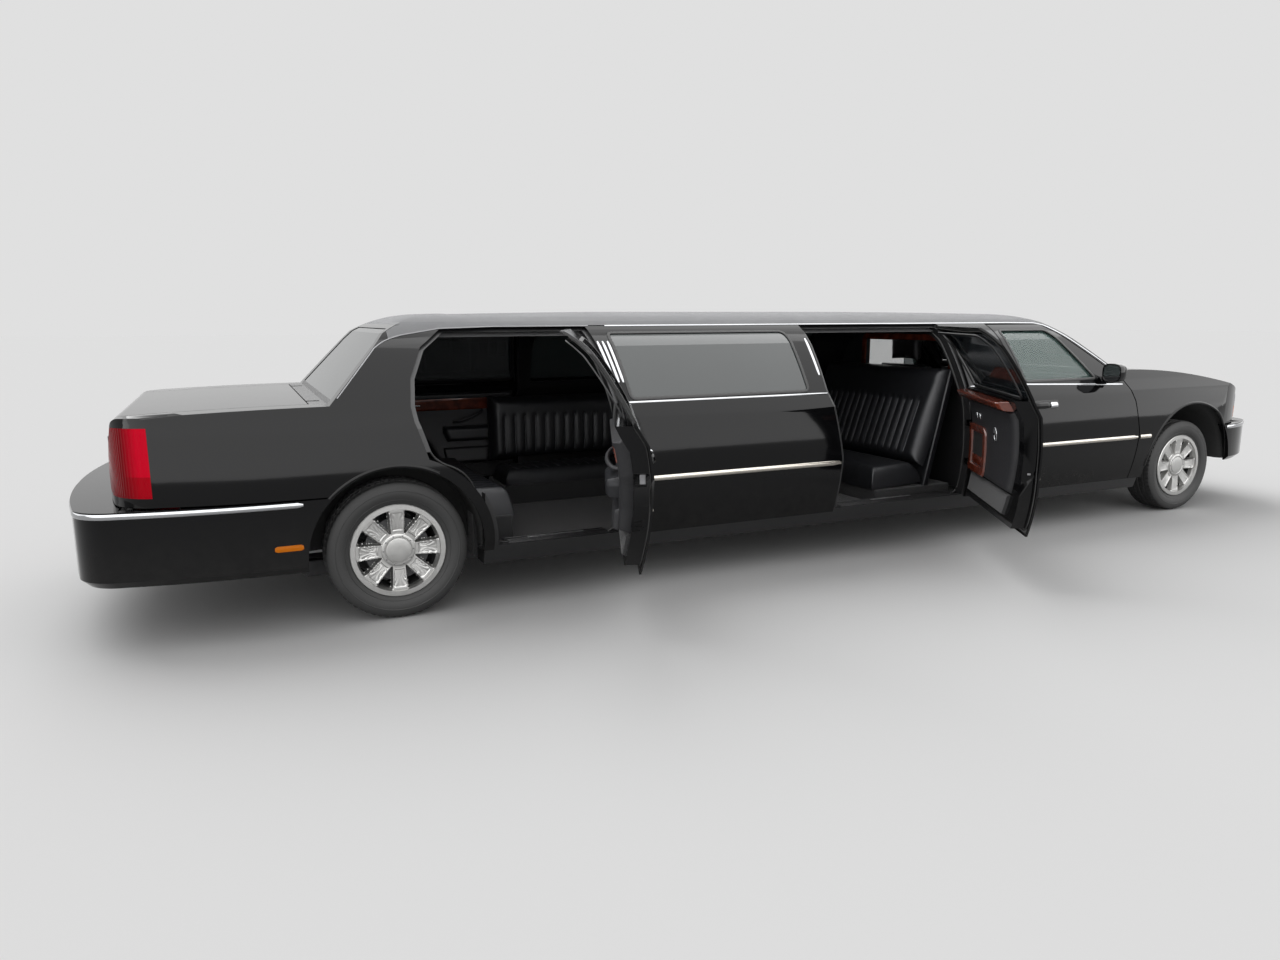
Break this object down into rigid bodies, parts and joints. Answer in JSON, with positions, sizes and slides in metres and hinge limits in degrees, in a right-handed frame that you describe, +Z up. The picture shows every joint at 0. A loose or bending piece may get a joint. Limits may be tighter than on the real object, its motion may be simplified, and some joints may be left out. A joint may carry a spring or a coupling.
{
  "type": "stretched saloon car with five doors",
  "caption": "Black stretched saloon car with a cabin lounge, its two right-hand cabin doors standing open; doors, lids, steering and wheels move.",
  "frame": {"origin": "middle of the car's footprint on the ground, its open doors included", "axes": "+X towards the front of the car, +Y to its left, +Z up"},
  "size_m": [8.34, 3.1171, 1.5079],
  "materials": {
    "body_paint": "gloss",
    "roof_vinyl": "grained vinyl",
    "frame_black": "satin",
    "glass": "tinted",
    "door_glass": "clear green tint",
    "lamp_clear": "clear",
    "lamp_red": "gloss",
    "chrome": "polished",
    "steel": "plain",
    "iron": "plain",
    "alloy": "bright",
    "tyre": "matt",
    "leather": "satin",
    "carpet": "pile",
    "wood": "gloss",
    "trim": "matt"
  },
  "bodies": {
    "body": {"side_frame_right": "frame_black", "side_frame_left": "frame_black", "roof": "roof_vinyl", "quarter_right": "body_paint", "quarter_left": "body_paint", "stretch_side_right": "body_paint", "stretch_side_left": "body_paint", "fender_right": "body_paint", "fender_left": "body_paint", "nose_panel": "body_paint", "grille": "chrome", "headlamps": "lamp_clear", "tail_lamps": "lamp_red", "cowl": "frame_black", "rear_deck": "frame_black", "rear_bumper": "body_paint", "front_bumper": "body_paint", "fixed_glass": "glass", "floor_pan": "carpet", "frame_rails": "frame_black", "engine_block": "iron", "exhaust": "steel", "rear_axle": "iron", "front_suspension": "iron", "rear_seat": "leather", "middle_seat": "leather", "front_seats": "leather", "side_seat": "leather", "bar_cabinet": "wood", "partition": "trim", "dashboard": "trim"},
    "door_rear_right": {"door_rear_right": "body_paint", "glass_rear_right": "door_glass"},
    "door_middle_right": {"door_middle_right": "body_paint", "glass_middle_right": "door_glass"},
    "door_front_right": {"door_front_right": "body_paint", "glass_front_right": "door_glass"},
    "door_front_left": {"door_front_left": "body_paint", "glass_front_left": "door_glass"},
    "door_rear_left": {"door_rear_left": "body_paint", "glass_rear_left": "door_glass"},
    "hood": {"hood": "body_paint"},
    "trunk_lid": {"trunk_lid": "body_paint"},
    "steering_wheel": {"steering_wheel": "leather"},
    "knuckle_right": {"knuckle_right": "iron"},
    "knuckle_left": {"knuckle_left": "iron"},
    "wheel_front_right": {"rim_front_right": "alloy", "tyre_front_right": "tyre"},
    "wheel_front_left": {"rim_front_left": "alloy", "tyre_front_left": "tyre"},
    "wheel_rear_right": {"rim_rear_right": "alloy", "tyre_rear_right": "tyre"},
    "wheel_rear_left": {"rim_rear_left": "alloy", "tyre_rear_left": "tyre"}
  },
  "joints": [
    {"name": "door_rear_right_hinge", "type": "hinge", "parent": "body", "child": "door_rear_right", "pos_m": [-1.46, -0.4865, 0.6], "axis": [0, 0, 1], "range_deg": [-68, 0]},
    {"name": "door_middle_right_hinge", "type": "hinge", "parent": "body", "child": "door_middle_right", "pos_m": [1.01, -0.4865, 0.6], "axis": [0, 0, 1], "range_deg": [-59, 0]},
    {"name": "door_front_right_hinge", "type": "hinge", "parent": "body", "child": "door_front_right", "pos_m": [2.6, -0.4865, 0.6], "axis": [0, 0, 1], "range_deg": [0, 66]},
    {"name": "door_front_left_hinge", "type": "hinge", "parent": "body", "child": "door_front_left", "pos_m": [2.6, 1.4235, 0.6], "axis": [0, 0, -1], "range_deg": [0, 66]},
    {"name": "door_rear_left_hinge", "type": "hinge", "parent": "body", "child": "door_rear_left", "pos_m": [-1.46, 1.4235, 0.6], "axis": [0, 0, -1], "range_deg": [0, 70]},
    {"name": "hood_hinge", "type": "hinge", "parent": "body", "child": "hood", "pos_m": [2.424, 0.4685, 1.066], "axis": [0, -1, 0], "range_deg": [0, 55]},
    {"name": "trunk_hinge", "type": "hinge", "parent": "body", "child": "trunk_lid", "pos_m": [-3.036, 0.4685, 1.048], "axis": [0, 1, 0], "range_deg": [0, 75]},
    {"name": "steer_left", "type": "hinge", "parent": "body", "child": "knuckle_left", "pos_m": [3.13, 1.1365, 0.345], "axis": [0, 0, 1], "range_deg": [-33, 33]},
    {"name": "steer_right", "type": "hinge", "parent": "body", "child": "knuckle_right", "pos_m": [3.13, -0.1995, 0.345], "axis": [0, 0, 1], "range_deg": [-33, 33]},
    {"name": "spin_front_right", "type": "hinge", "parent": "knuckle_right", "child": "wheel_front_right", "pos_m": [3.13, -0.3365, 0.345], "axis": [0, 1, 0], "continuous": true},
    {"name": "spin_front_left", "type": "hinge", "parent": "knuckle_left", "child": "wheel_front_left", "pos_m": [3.13, 1.2735, 0.345], "axis": [0, 1, 0], "continuous": true},
    {"name": "spin_rear_right", "type": "hinge", "parent": "body", "child": "wheel_rear_right", "pos_m": [-2.73, -0.3645, 0.345], "axis": [0, 1, 0], "continuous": true},
    {"name": "spin_rear_left", "type": "hinge", "parent": "body", "child": "wheel_rear_left", "pos_m": [-2.73, 1.3015, 0.345], "axis": [0, 1, 0], "continuous": true},
    {"name": "steering_wheel_turn", "type": "hinge", "parent": "body", "child": "steering_wheel", "pos_m": [2.11, 0.8385, 0.905], "axis": [-0.9063, 0, 0.4226], "range_deg": [-540, 540]}
  ],
  "couplings": [
    {"joint": "steer_right", "follows": "steer_left", "ratio": 1},
    {"joint": "steering_wheel_turn", "follows": "steer_left", "ratio": 16}
  ]
}
